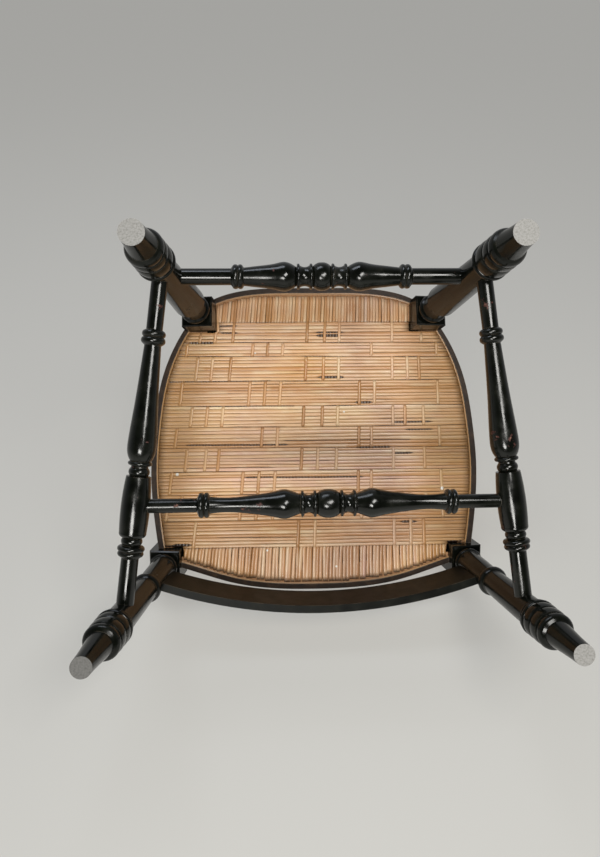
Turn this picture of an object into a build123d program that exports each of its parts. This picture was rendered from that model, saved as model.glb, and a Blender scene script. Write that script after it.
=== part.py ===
"""A low turned-wood nursing chair with a close-woven split-cane seat.

Millimetres, +Z up, the front of the chair towards -Y, the origin on the floor at the middle of
the chair's box. "left" is the sitter's left, on the +X side.
"""

from build123d import *
import os
from math import atan2, degrees, sqrt

# --- Driving dimensions ---------------------------------------------------------------------

MID_Y = -8.794           # middle of the four seat blocks, so that the whole box is centred
ROW_REACH = 166.5        # from MID_Y to the front and the rear row of blocks
BLOCK = 40.0             # square blocks at the seat's corners
KNEE_Z = 275.0           # height at which the leg axes pass the block positions
FRONT_BLOCK_TOP = 312.0
REAR_BLOCK_TOP = 320.0

FRONT_BLOCK_X = 202.0
FRONT_FOOT_X = 234.0
FRONT_FOOT_Y = MID_Y - 207.0
REAR_BLOCK_X = 153.0
REAR_FOOT_X = 185.5
REAR_FOOT_Y = MID_Y + 192.5

SIDE_STRETCHER_FRONT_Z = 113.5
SIDE_STRETCHER_REAR_Z = 95.0
REAR_STRETCHER_Z = 122.0
CROSS_AT = 0.682         # share of the side stretcher, from the rear, where the cross one joins

SEAT_LOW = 281.0         # underside of the cane
SEAT_TOP = 307.0         # upper face of the cane
CANE = 2.0               # thickness of one layer of cane
STRIP = 7.0              # thickness of the edge strips
STRIP_PROUD = 1.2        # how far the strips stand past the cane, above and below
WRAP = 1.6               # cane between a rail and its strip
RAIL_WIDTH = 24.0
TENON_WIDTH = 9.0
TENON_HEIGHT = 12.0
TENON_REACH = 11.0       # how far the tenons enter a block
TENON_Z = 291.0
FRONT_TENON_IN = 9.0     # the front rail's tenons, in from the middle of their blocks
SIDE_TENON_IN = 4.0      # the side rails' tenons, in from the middle of the front blocks
SOCKET_GAP = 0.1         # clearance round pegs and tenons
BLOCK_GAP = 0.8          # clearance of the cane round the leaning blocks

APRON_LOW = 213.0
APRON_HEIGHT = 49.0
APRON_THICK = 10.0
APRON_BOW_RADIUS = 600.0
APRON_FRONT = MID_Y - 219.0
APRON_END_X = 205.0
PEG_RADIUS = 2.5
PEG_IN = 5.0             # from the leg's axis towards the middle
PEG_BACK = 6.0           # how far a peg runs behind the leg's axis
PEG_FRONT = 14.6         # and in front of it
PEG_HOLE_PAST = 4.0

STRETCHER_TENON = 6.3    # radius of the round tenons at the legs
STRETCHER_STOP = 5.0     # how far short of the leg's axis they end
STRETCHER_ROOT = 24.0    # where they meet the stretcher's own wood
CROSS_TENON = 5.3
CROSS_STOP = 4.0
CROSS_ROOT = 20.0
CROSS_PULL = 3.0
CROSS_SHIFT = -3.0       # the cross stretcher sits a little to one side

STILE_TOP_X = 159.0
STILE_RAKE = 60.0        # how far the stiles lean back over their length
STILE_TOP_Z = 790.0
STILE_TENON = 8.0
STILE_TENON_DEPTH = 20.0
LOWER_RAIL_UP = 112.0    # along the stiles, from the blocks
CREST_UP = 412.0
CREST_HEIGHT = 46.0
CREST_RISE = 20.0
CREST_THICK = 17.0
SPINDLE_PITCH = 47.0
SPINDLE_COUNT = 5
SPINDLE_TENON = 4.5
SPINDLE_DEPTH = 5.0      # how far the tenons pass the rails' middle line
SPINDLE_ROOT = 16.0
CREST_ROOT = 22.0

NAIL_PITCH = 46.0
NAIL_MARGIN = 26.0
NAIL_RADIUS = 0.9
NAIL_HEAD = 2.3
NAIL_LENGTH = 19.0

FRONT_ROW = MID_Y - ROW_REACH
REAR_ROW = MID_Y + ROW_REACH

os.makedirs("parts", exist_ok=True)


def finish(piece, name):
    """Name a finished piece and write it."""
    piece.part.label = name
    export_step(piece.part, f"parts/{name}.step")


# --- Turning ---------------------------------------------------------------------------------
# An outline is a list of cuts. Each cut is "line", "arc" or "swell" with the points it goes
# through, as (radius, distance along the axis). The cut starts where the last one ended.


def lathe_plane(start, end):
    """The plane in which an outline is drawn: x is the radius, y runs along the axis."""
    along = (end - start).normalized()
    side = Vector(0, 0, 1) if abs(along.Z) < 0.7 else Vector(0, 1, 0)
    radial = along.cross(side).normalized()
    return Plane(origin=start, x_dir=radial, z_dir=radial.cross(along))


def outline(first, cuts):
    """Draw an outline from the axis, along the cuts, and back to the axis."""
    Line((0, first[1]), first)
    here = first
    for kind, *points in cuts:
        if kind == "line":
            Polyline(here, *points)
        elif kind == "arc":
            ThreePointArc(here, *points)
        else:
            Spline(here, *points)
        here = points[-1]
    Line(here, (0, here[1]))
    Line((0, here[1]), (0, first[1]))


def turned(start, end, first, cuts, both_ways=False):
    """A turned piece along start-end. both_ways mirrors it about its start."""
    axis = Axis(start, end - start)
    with BuildPart() as piece:
        with BuildSketch(lathe_plane(start, end)):
            with BuildLine():
                outline(first, cuts)
            make_face()
        revolve(axis=axis)
        if both_ways:
            mirror(about=Plane(origin=start, z_dir=end - start))
    return piece


def rod(start, end, radius):
    """A plain round tenon, socket or peg."""
    length = (end - start).length
    return turned(start, end, (radius, 0), [("line", (radius, length))])


def towards(start, end, distance):
    """The point at this distance from start towards end."""
    return start + (end - start).normalized() * distance


# --- Legs --------------------------------------------------------------------------------------

FRONT_LEG_CUTS = [
    ("line", (10.4, 0)),
    ("arc", (12.0, 24), (14.4, 45)),                       # peg, flaring into the cup
    ("line", (17.0, 46.5)),
    ("arc", (19.4, 50), (18.9, 54)),                       # rim of the cup
    ("line", (17.9, 55.5), (19.3, 57)),
    ("arc", (20.0, 62), (19.5, 67.5)),
    ("line", (18.3, 69), (19.5, 70.5)),
    ("arc", (20.3, 75.5), (19.7, 80.5)),
    ("line", (18.4, 81.5)),
    ("arc", (20.5, 84.5), (18.4, 87.5)),                   # two end beads
    ("arc", (19.1, 90), (16.9, 92.5)),
    ("line", (15.9, 94.5)),
    ("swell", (15.8, 125), (15.4, 160), (15.0, 187)),      # shaft
    ("line", (15.4, 189)),
    ("arc", (18.3, 195.5), (15.0, 202)),                   # ring below the apron
    ("line", (14.6, 204)),
    ("swell", (15.4, 225), (15.8, 262)),
    ("line", (16.3, 264)),
    ("arc", (18.5, 268), (16.3, 272)),                     # collar at the block
    ("line", (15.4, 273.5), (15.4, 280)),
]

REAR_LEG_CUTS = [
    ("line", (12.8, 0)),
    ("arc", (14.0, 16), (16.2, 31)),
    ("line", (18.2, 33)),
    ("arc", (20.1, 37.5), (19.6, 42)),
    ("line", (18.4, 43.5), (19.7, 45)),
    ("arc", (20.4, 50), (19.7, 55)),
    ("line", (18.7, 56.5), (19.8, 58)),
    ("arc", (20.8, 65), (20.0, 72)),
    ("line", (18.9, 73.5)),
    ("arc", (21.2, 77), (18.9, 80.5)),
    ("line", (16.2, 83)),
    ("swell", (17.0, 110), (18.6, 167), (20.0, 216)),
    ("line", (18.8, 218.5), (15.0, 219.5)),
    ("arc", (13.4, 232), (15.4, 244)),                     # dark cove below the block
    ("line", (17.2, 245.5)),
    ("arc", (18.9, 249.5), (17.2, 253.5)),
    ("line", (15.8, 255), (15.8, 280)),
]

CORNERS = {
    "front_leg_left": (1, FRONT_FOOT_X, FRONT_FOOT_Y, FRONT_BLOCK_X, FRONT_ROW, FRONT_LEG_CUTS),
    "front_leg_right": (-1, FRONT_FOOT_X, FRONT_FOOT_Y, FRONT_BLOCK_X, FRONT_ROW, FRONT_LEG_CUTS),
    "rear_leg_left": (1, REAR_FOOT_X, REAR_FOOT_Y, REAR_BLOCK_X, REAR_ROW, REAR_LEG_CUTS),
    "rear_leg_right": (-1, REAR_FOOT_X, REAR_FOOT_Y, REAR_BLOCK_X, REAR_ROW, REAR_LEG_CUTS),
}
BLOCK_START = {"front": 274.5, "rear": 257.5}


def leg_ends(name):
    """The foot and the knee: two points on the leg's axis."""
    side, foot_x, foot_y, block_x, block_y, cuts = CORNERS[name]
    foot = Vector(side * foot_x, foot_y, 0)
    knee = Vector(side * block_x, block_y, KNEE_Z)
    return foot, knee


def leg_point(name, z):
    """The point of the leg's axis at this height."""
    foot, knee = leg_ends(name)
    return foot + (knee - foot) * (z / KNEE_Z)


def seat_block(name, grow=0.0):
    """The square block at the top of a leg, with its edges eased."""
    foot, knee = leg_ends(name)
    low = BLOCK_START[name.split("_")[0]]
    base = towards(foot, knee, low)
    top = FRONT_BLOCK_TOP if name.startswith("front") else REAR_BLOCK_TOP
    height = (top - base.Z) / (knee - foot).normalized().Z
    with BuildPart(Plane(origin=base, x_dir=(1, 0, 0), z_dir=knee - foot)) as block:
        width = BLOCK + 2 * grow
        Box(width, width, height + grow, align=(Align.CENTER, Align.CENTER, Align.MIN))
        chamfer(block.faces().sort_by(Axis.Z)[-1].edges(), length=3)
        chamfer(block.faces().sort_by(Axis.Z)[0].edges(), length=1.5)
    return block


def leg_blank(name):
    """A leg before its sockets are cut: turned shaft, block on top, foot sawn level."""
    foot, knee = leg_ends(name)
    cuts = CORNERS[name][-1]
    first = (cuts[0][1][0] - 0.4, -5)
    shaft = turned(foot, knee, first, cuts)
    with BuildPart() as blank:
        add(shaft.part)
        add(blocks[name].part)
        split(bisect_by=Plane.XY, keep=Keep.TOP)
    return blank


blocks = {name: seat_block(name) for name in CORNERS}
blanks = {name: leg_blank(name) for name in CORNERS}

# --- Stretchers --------------------------------------------------------------------------------

SIDE_CUTS = [
    ("line", (8.8, 66)),
    ("line", (10.6, 67)),
    ("arc", (12.6, 70.5), (10.8, 74)),                     # double bead at the rear
    ("arc", (13.0, 77.8), (10.8, 81.6)),
    ("line", (9.0, 83)),
    ("swell", (10.3, 108.5), (12.4, 145.6), (15.3, 186.6), (14.6, 200.3), (11.6, 207.2)),
    ("line", (11.0, 208.2)),
    ("arc", (12.9, 210.4), (11.0, 212.6)),                 # thin ring
    ("line", (9.0, 213.6), (9.2, 215)),
    ("arc", (11.3, 219.4), (9.6, 223.8)),
    ("line", (13.2, 224.4)),
    ("arc", (15.5, 256), (14.6, 285.5)),                   # barrel that takes the cross stretcher
    ("arc", (13.4, 289.5), (9.6, 291)),
    ("arc", (11.4, 295.2), (9.6, 299.3)),
    ("line", (12.0, 300.2)),
    ("arc", (14.6, 303.2), (12.4, 306.1)),
    ("arc", (13.9, 309), (12.0, 311.6)),
    ("line", (9.4, 313.6)),
]


def half_rail_cuts(ball, ring_in, ring_out, vase_at, vase, beads_at, neck, end, length):
    """One half of a turned rail, from its centre ball outwards."""
    return [
        ("arc", (ball - 1.2, ring_in * 0.5), (ball - 4.6, ring_in - 2)),
        ("line", (ball - 4.0, ring_in - 1.3)),
        ("arc", (ball - 1.3, ring_in), (ball - 3.2, ring_in + 1.4)),
        ("arc", (neck - 0.4, (ring_in + ring_out) / 2), (ball - 3.2, ring_out - 1.4)),
        ("arc", (ball - 1.3, ring_out), (ball - 4.0, ring_out + 1.3)),
        ("line", (ball - 5.0, ring_out + 2.4)),
        (
            "swell",
            (vase - 1.4, vase_at - 5),
            (vase, vase_at),
            (vase - 1.6, vase_at + 11),
            (neck + 0.9, vase_at + 31),
            (neck - 0.8, beads_at - 7),
        ),
        ("line", (neck + 0.6, beads_at - 6)),
        ("arc", (ball - 2.0, beads_at - 3.3), (neck + 1.4, beads_at - 0.4)),
        ("arc", (ball - 2.0, beads_at + 2.7), (neck + 0.6, beads_at + 5.8)),
        ("line", (end, beads_at + 7.5), (end, length)),
    ]


def make_side_stretcher(side):
    """A turned side stretcher before its sockets: rear leg to front leg."""
    start = leg_point(f"rear_leg_{side}", SIDE_STRETCHER_REAR_Z)
    end = leg_point(f"front_leg_{side}", SIDE_STRETCHER_FRONT_Z)
    stretch = (end - start).length
    cuts = SIDE_CUTS + [("line", (9.6, stretch))]
    return turned(start, end, (8.8, 0), cuts), start, end


def scribed(body, neighbours, tenons, sockets=()):
    """Fit a piece: cut its ends to its neighbours' faces, add its tenons, open its sockets."""
    with BuildPart() as piece:
        add(body.part)
        for neighbour in neighbours:
            add(neighbour.part, mode=Mode.SUBTRACT)
        for tenon in tenons:
            add(tenon.part)
        for socket in sockets:
            add(socket.part, mode=Mode.SUBTRACT)
    return piece


def tenon_pair(start, end, radius, inset, reach):
    """Round tenons at both ends, and the sockets that take them with a little clearance."""
    tenons = []
    sockets = []
    for near, far in ((start, end), (end, start)):
        root = towards(near, far, reach)
        tenons.append(rod(root, towards(near, far, inset), radius))
        sockets.append(rod(root, towards(near, far, inset - 1), radius + SOCKET_GAP))
    return tenons, sockets


sockets_in = {name: [] for name in CORNERS}

side_blanks = {}
side_tenons = {}
side_ends = {}
for side in ("left", "right"):
    body, start, end = make_side_stretcher(side)
    side_blanks[side] = body
    side_ends[side] = (start, end)
    tenons, sockets = tenon_pair(start, end, STRETCHER_TENON, STRETCHER_STOP, STRETCHER_ROOT)
    side_tenons[side] = tenons
    sockets_in[f"rear_leg_{side}"].append(sockets[0])
    sockets_in[f"front_leg_{side}"].append(sockets[1])

rear_left = leg_point("rear_leg_left", REAR_STRETCHER_Z)
rear_right = leg_point("rear_leg_right", REAR_STRETCHER_Z)
rear_middle = (rear_left + rear_right) / 2
rear_cuts = half_rail_cuts(15.6, 12.4, 26.3, 40.8, 16.1, 94.0, 10.9, 9.2, rear_left.X)
rear_body = turned(rear_middle, rear_left, (15.6, 0), rear_cuts, both_ways=True)
rear_tenons, rear_sockets = tenon_pair(
    rear_left, rear_right, STRETCHER_TENON, STRETCHER_STOP, STRETCHER_ROOT
)
sockets_in["rear_leg_left"].append(rear_sockets[0])
sockets_in["rear_leg_right"].append(rear_sockets[1])
rear_stretcher = scribed(
    rear_body, (blanks["rear_leg_left"], blanks["rear_leg_right"]), rear_tenons
)
finish(rear_stretcher, "rear_stretcher")

cross_ends = []
for side in ("left", "right"):
    start, end = side_ends[side]
    cross_ends.append(start + (end - start) * CROSS_AT)
cross_middle = (cross_ends[0] + cross_ends[1]) / 2 + Vector(CROSS_SHIFT, 0, 0)
cross_half = cross_ends[0].X - CROSS_SHIFT - CROSS_PULL
cross_cuts = half_rail_cuts(15.8, 14.9, 28.3, 46.1, 16.1, 135.4, 10.2, 7.7, cross_half)
cross_body = turned(cross_middle, cross_ends[0], (15.8, 0), cross_cuts, both_ways=True)
cross_tenons, cross_sockets = tenon_pair(
    cross_ends[0], cross_ends[1], CROSS_TENON, CROSS_STOP, CROSS_ROOT
)
cross_stretcher = scribed(cross_body, (side_blanks["left"], side_blanks["right"]), cross_tenons)
finish(cross_stretcher, "cross_stretcher")

for side, cross_socket in zip(("left", "right"), cross_sockets):
    legs = (blanks[f"rear_leg_{side}"], blanks[f"front_leg_{side}"])
    stretcher = scribed(side_blanks[side], legs, side_tenons[side], (cross_socket,))
    finish(stretcher, f"side_stretcher_{side}")

# --- Front apron -------------------------------------------------------------------------------

lean = Vector(0, FRONT_ROW - FRONT_FOOT_Y, KNEE_Z).normalized()


def apron_band(thickness, front, low, height, reach):
    """A bowed board that leans with the front legs. front is its outer face at the middle."""
    plane = Plane(origin=(0, front, low), x_dir=(1, 0, 0), z_dir=lean)
    inner_radius = APRON_BOW_RADIUS - thickness
    drop = APRON_BOW_RADIUS - sqrt(APRON_BOW_RADIUS**2 - reach**2)
    inner_drop = APRON_BOW_RADIUS - sqrt(inner_radius**2 - reach**2)
    with BuildPart() as board:
        with BuildSketch(plane):
            with BuildLine():
                ThreePointArc((-reach, drop), (0, 0), (reach, drop))
                Line((reach, drop), (reach, inner_drop))
                ThreePointArc((reach, inner_drop), (0, thickness), (-reach, inner_drop))
                Line((-reach, inner_drop), (-reach, drop))
            make_face()
        extrude(amount=height)
    return board


apron_board = apron_band(APRON_THICK, APRON_FRONT, APRON_LOW, APRON_HEIGHT, APRON_END_X)
peg_rods = []
peg_holes = []
for side in (1, -1):
    through = leg_point("front_leg_left", APRON_LOW + APRON_HEIGHT * 0.5)
    back = Vector(side * (through.X - PEG_IN), through.Y + PEG_BACK, through.Z)
    front = Vector(side * (through.X - PEG_IN), through.Y - PEG_FRONT, through.Z)
    peg_rods.append(rod(back, front, PEG_RADIUS))
    peg_holes.append(rod(back, front + Vector(0, -PEG_HOLE_PAST, 0), PEG_RADIUS))

with BuildPart() as front_apron:
    add(apron_board.part)
    for hole in peg_holes:
        add(hole.part, mode=Mode.SUBTRACT)
finish(front_apron, "front_apron")

with BuildPart() as apron_pegs:
    for peg in peg_rods:
        add(peg.part)
finish(apron_pegs, "apron_pegs")

for name in ("front_leg_left", "front_leg_right"):
    sockets_in[name].append(apron_board)
    sockets_in[name] += peg_holes

# --- Seat ----------------------------------------------------------------------------------------
# The seat's edge is four bows between the blocks. Their points are the outer face of the edge
# strips, half of a bow for the front and the rear, all of it for a side.

REAR_BOW = [(145, 184.5), (118, 196), (84, 202.5), (0, 204.5)]
FRONT_BOW = [(193, -168.5), (146, -183.5), (111, -194), (70, -201), (0, -204)]
SIDE_BOW = [(170.5, 155), (186, 130), (207, 76), (216, 24), (221, -38), (217.5, -104), (210, -158)]


def bow_points(side, inset):
    """The points of one bow, moved in from the edge by inset."""
    if side in ("front", "rear"):
        half = FRONT_BOW if side == "front" else REAR_BOW
        shift = inset if side == "front" else -inset
        right = [(x, MID_Y + y + shift) for x, y in half]
        return right + [(-x, y) for x, y in reversed(right[:-1])]
    sign = 1 if side == "left" else -1
    return [(sign * (x - inset), MID_Y + y) for x, y in SIDE_BOW]


def bow_band(side, inset, width, low, high):
    """A band that follows one bow, cut to the blocks at its ends."""
    outer = bow_points(side, inset)
    inner = bow_points(side, inset + width)
    with BuildPart() as band:
        with BuildSketch(Plane.XY.offset(low)):
            with BuildLine():
                Spline(*outer)
                Line(outer[-1], inner[-1])
                Spline(*inner)
                Line(inner[0], outer[0])
            make_face()
        extrude(amount=high - low)
        for block in blocks.values():
            add(block.part, mode=Mode.SUBTRACT)
    return band


def cane_layer(low):
    """One layer of the woven seat, inside the edge strips and cut round the blocks."""
    inset = STRIP + WRAP
    corners = {
        ("rear", "right"): (-REAR_BLOCK_X, REAR_ROW),
        ("right", "front"): (-FRONT_BLOCK_X, FRONT_ROW),
        ("front", "left"): (FRONT_BLOCK_X, FRONT_ROW),
        ("left", "rear"): (REAR_BLOCK_X, REAR_ROW),
    }
    rounds = {
        "rear": bow_points("rear", inset),
        "right": bow_points("right", inset),
        "front": bow_points("front", inset)[::-1],
        "left": bow_points("left", inset)[::-1],
    }
    with BuildPart() as layer:
        with BuildSketch(Plane.XY.offset(low)):
            with BuildLine():
                for (side, following), corner in corners.items():
                    Spline(*rounds[side])
                    Polyline(rounds[side][-1], corner, rounds[following][0])
            make_face()
        extrude(amount=CANE)
        for name in CORNERS:
            add(seat_block(name, BLOCK_GAP).part, mode=Mode.SUBTRACT)
    return layer


finish(cane_layer(SEAT_LOW), "cane_underside")
finish(cane_layer(SEAT_TOP - CANE), "cane_top")

SIDES = ("front", "rear", "left", "right")
rail_low = SEAT_LOW + CANE
rail_high = SEAT_TOP - CANE


def bow_nails(side):
    """Places for the nails of one strip: evenly along the bow, with the outward direction."""
    points = bow_points(side, 0)
    with BuildLine() as bow:
        Spline(*points)
    line = bow.edges()[0]
    usable = line.length - 2 * NAIL_MARGIN
    count = int(usable // NAIL_PITCH) + 1
    centre = Vector(0, MID_Y, 0)
    places = []
    for index in range(count + 1):
        share = (NAIL_MARGIN + usable * index / count) / line.length
        spot = line.position_at(share)
        tangent = line.tangent_at(share)
        outward = tangent.cross(Vector(0, 0, 1)).normalized()
        if outward.dot(spot - centre) < 0:
            outward = outward * -1
        places.append((spot + Vector(0, 0, (SEAT_LOW + SEAT_TOP) / 2), outward))
    return places


def nail(spot, outward):
    """A round wire nail with a low domed head on the strip's face."""
    tip = spot - outward * NAIL_LENGTH
    reach = NAIL_LENGTH
    cuts = [
        ("line", (NAIL_RADIUS, reach), (NAIL_HEAD, reach)),
        ("arc", (NAIL_HEAD * 0.75, reach + 0.75), (0.2, reach + 1.1)),
    ]
    return turned(tip, spot, (NAIL_RADIUS, 0), cuts)


nails = {side: [nail(spot, outward) for spot, outward in bow_nails(side)] for side in SIDES}

with BuildPart() as strip_nails:
    for side in SIDES:
        for pin in nails[side]:
            add(pin.part)
finish(strip_nails, "strip_nails")

for side in SIDES:
    strip = bow_band(side, 0, STRIP, SEAT_LOW - STRIP_PROUD, SEAT_TOP + STRIP_PROUD)
    with BuildPart() as edge_strip:
        add(strip.part)
        for pin in nails[side]:
            add(pin.part, mode=Mode.SUBTRACT)
    finish(edge_strip, f"edge_strip_{side}")

with BuildPart() as cane_wraps:
    for side in SIDES:
        wrap = bow_band(side, STRIP, WRAP, SEAT_LOW, SEAT_TOP)
        add(wrap.part)
    for side in SIDES:
        for pin in nails[side]:
            add(pin.part, mode=Mode.SUBTRACT)
finish(cane_wraps, "cane_wraps")


def rail_tenon(block_name, side, grow=0.0):
    """A square tenon where a seat rail enters a block, in line with the rail's end."""
    sign = 1 if block_name.endswith("left") else -1
    front = block_name.startswith("front")
    block_x = sign * (FRONT_BLOCK_X if front else REAR_BLOCK_X)
    block_y = FRONT_ROW if front else REAR_ROW
    reach = TENON_REACH * 2 + grow
    across = TENON_WIDTH + 2 * grow
    if side in ("front", "rear"):
        offset = FRONT_TENON_IN if front else 0
        spot = (block_x - sign * (BLOCK / 2 + 0.5 * grow), block_y + offset, TENON_Z)
        size = (reach, across, TENON_HEIGHT + 2 * grow)
    else:
        offset = -SIDE_TENON_IN * sign if front else 0
        step = 1 if front else -1
        spot = (block_x + offset, block_y + step * (BLOCK / 2 + 0.5 * grow), TENON_Z)
        size = (across, reach, TENON_HEIGHT + 2 * grow)
    with BuildPart(Location(spot)) as tenon:
        Box(*size)
    return tenon


RAIL_BLOCKS = {
    "front": ("front_leg_left", "front_leg_right"),
    "rear": ("rear_leg_left", "rear_leg_right"),
    "left": ("front_leg_left", "rear_leg_left"),
    "right": ("front_leg_right", "rear_leg_right"),
}

for side in SIDES:
    rail = bow_band(side, STRIP + WRAP, RAIL_WIDTH, rail_low, rail_high)
    with BuildPart() as seat_rail:
        add(rail.part)
        for name in RAIL_BLOCKS[side]:
            add(rail_tenon(name, side).part)
            sockets_in[name].append(rail_tenon(name, side, grow=SOCKET_GAP))
        for pin in nails[side]:
            add(pin.part, mode=Mode.SUBTRACT)
    finish(seat_rail, f"seat_rail_{side}")

# --- Back ----------------------------------------------------------------------------------------

STILE_CUTS = [
    ("line", (14.0, 2)),
    ("arc", (17.0, 7), (14.0, 12)),                        # base bead on the block
    ("line", (11.5, 13.5)),
    ("swell", (12.2, 24), (16.0, 44), (15.6, 58), (11.8, 70)),
    ("line", (11.8, 72)),
    ("arc", (14.4, 75), (11.8, 78)),
    ("line", (13.4, 80)),
    ("arc", (14.6, 112), (13.4, 144)),                     # barrel for the lower rail
    ("line", (11.6, 146)),
    ("arc", (14.0, 149), (11.6, 152)),
    ("arc", (13.4, 155), (10.6, 158)),
    ("swell", (11.4, 180), (13.6, 250), (15.6, 322), (14.2, 348), (10.8, 358)),
    ("line", (10.8, 360)),
    ("arc", (13.6, 363), (11.2, 366)),
    ("arc", (13.6, 369), (11.2, 372)),
    ("line", (13.0, 374)),
    ("arc", (14.6, 406), (13.0, 440)),                     # barrel for the crest rail
    ("line", (10.4, 442)),
    ("arc", (13.6, 446), (10.2, 450)),
    ("line", (6.4, 454)),
    ("arc", (14.6, 472), (6.0, 489)),                      # finial
    ("arc", (5.6, 494), (0.4, 497)),
]

stile_blanks = {}
stile_tenons = {}
stile_ends = {}
for side, sign in (("left", 1), ("right", -1)):
    leg = f"rear_leg_{side}"
    base = leg_point(leg, REAR_BLOCK_TOP)
    top = Vector(sign * STILE_TOP_X, base.Y + STILE_RAKE, STILE_TOP_Z)
    stile_ends[side] = (base, top)
    body = turned(base, top, (14.0, 0), STILE_CUTS)
    with BuildPart() as blank:
        add(body.part)
        add(blocks[leg].part, mode=Mode.SUBTRACT)
    stile_blanks[side] = blank
    below = base - (top - base).normalized() * STILE_TENON_DEPTH
    inside = towards(base, top, 6)
    stile_tenons[side] = rod(below, inside, STILE_TENON)
    deeper = below - (top - base).normalized()
    sockets_in[leg].append(rod(deeper, inside, STILE_TENON + SOCKET_GAP))


def stile_point(side, up):
    """The point of a stile's axis at this distance above the block."""
    base, top = stile_ends[side]
    return towards(base, top, up)


left_low = stile_point("left", LOWER_RAIL_UP)
right_low = stile_point("right", LOWER_RAIL_UP)
low_middle = (left_low + right_low) / 2
LOWER_RAIL_CUTS = [
    ("swell", (12.6, 40), (12.0, 80), (10.6, 100)),
    ("line", (11.0, 101)),
    ("arc", (13.4, 104), (11.2, 107)),
    ("arc", (13.4, 110), (10.6, 113)),
    ("line", (9.4, 114.5), (9.4, left_low.X)),
]
low_body = turned(low_middle, left_low, (12.8, 0), LOWER_RAIL_CUTS, both_ways=True)
low_tenons, low_sockets = tenon_pair(left_low, right_low, CROSS_TENON, CROSS_STOP, CROSS_ROOT)

crest_left = stile_point("left", CREST_UP)
crest_right = stile_point("right", CREST_UP)
crest_middle = (crest_left + crest_right) / 2
up_the_back = (crest_middle - low_middle).normalized()
back_plane = Plane(origin=crest_middle, x_dir=(1, 0, 0), z_dir=Vector(1, 0, 0).cross(up_the_back))

half_high = CREST_HEIGHT / 2
reach_x = crest_left.X
with BuildPart() as crest_body:
    with BuildSketch(back_plane):
        with BuildLine():
            Line((-reach_x, -half_high), (reach_x, -half_high))
            Line((reach_x, -half_high), (reach_x, half_high))
            Spline(
                (reach_x, half_high),
                (reach_x * 0.62, half_high + CREST_RISE * 0.35),
                (0, half_high + CREST_RISE),
                (-reach_x * 0.62, half_high + CREST_RISE * 0.35),
                (-reach_x, half_high),
            )
            Line((-reach_x, half_high), (-reach_x, -half_high))
        make_face()
    extrude(amount=CREST_THICK / 2, both=True)
    chamfer(crest_body.edges().filter_by(GeomType.LINE).filter_by(Axis.X), length=2)
crest_tenons, crest_sockets = tenon_pair(
    crest_left, crest_right, CROSS_TENON, CROSS_STOP, CREST_ROOT
)

SPINDLE_CUTS = [
    ("line", (5.6, 6)),
    ("swell", (6.4, 20), (9.2, 46), (8.6, 60), (5.8, 68)),
    ("line", (6.2, 69)),
    ("arc", (8.2, 71), (6.2, 73)),
    ("arc", (5.2, 79), (6.2, 85)),
    ("arc", (8.2, 87), (6.2, 89)),
    ("arc", (9.4, 97), (6.2, 105)),
    ("arc", (8.2, 107), (6.2, 109)),
    ("line", (5.4, 110.5)),
    ("swell", (6.2, 125), (8.8, 190), (8.4, 214), (5.6, 226)),
    ("arc", (7.6, 229), (5.6, 232)),
]

spindles = []
spindle_sockets = []
for index in range(SPINDLE_COUNT):
    x = (index - (SPINDLE_COUNT - 1) / 2) * SPINDLE_PITCH
    foot = Vector(x, low_middle.Y, low_middle.Z)
    head = foot + up_the_back * (CREST_UP - LOWER_RAIL_UP - half_high)
    span = (head - foot).length
    body = turned(foot, head, (5.6, 0), SPINDLE_CUTS + [("line", (5.2, 234), (5.2, span))])
    depth = up_the_back * SPINDLE_DEPTH
    root = up_the_back * SPINDLE_ROOT
    wide = SPINDLE_TENON + SOCKET_GAP
    tenon_low = rod(foot - depth, foot + root, SPINDLE_TENON)
    tenon_high = rod(head - depth, head + root, SPINDLE_TENON)
    socket_low = rod(foot - depth - up_the_back, foot + root, wide)
    socket_high = rod(head - depth, head + root + up_the_back, wide)
    spindle = scribed(body, (low_body, crest_body), (tenon_low, tenon_high))
    finish(spindle, f"back_spindle_{index + 1}")
    spindle_sockets.append((socket_low, socket_high))

stile_pair = (stile_blanks["left"], stile_blanks["right"])
low_holes = [pair[0] for pair in spindle_sockets]
high_holes = [pair[1] for pair in spindle_sockets]
lower_back_rail = scribed(low_body, stile_pair, low_tenons, low_holes)
finish(lower_back_rail, "lower_back_rail")
crest_rail = scribed(crest_body, stile_pair, crest_tenons, high_holes)
finish(crest_rail, "crest_rail")

for index, side in enumerate(("left", "right")):
    holes = (low_sockets[index], crest_sockets[index])
    stile = scribed(stile_blanks[side], (), (stile_tenons[side],), holes)
    finish(stile, f"back_stile_{side}")

# --- Legs with their sockets --------------------------------------------------------------------

for name in CORNERS:
    leg = scribed(blanks[name], (), (), sockets_in[name])
    finish(leg, name)

print("front splay, degrees:", round(degrees(atan2(lean.Y, lean.Z)), 2))
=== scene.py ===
# %% [markdown]
# # A low nursing chair, seen from underneath
# The chair is turned beech under black spirit varnish, with a seat of woven split cane.
# Its wooden parts come ready made from CAD, in metres, upright, with the front towards -Y.
# They could be turned again here with a Screw modifier, but the CAD shapes are exact, so this
# lesson keeps them, gives each its finish, and weaves the cane, which CAD only has as plates.

import math

import bpy
import numpy as np
from mathutils import Matrix, Vector


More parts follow.
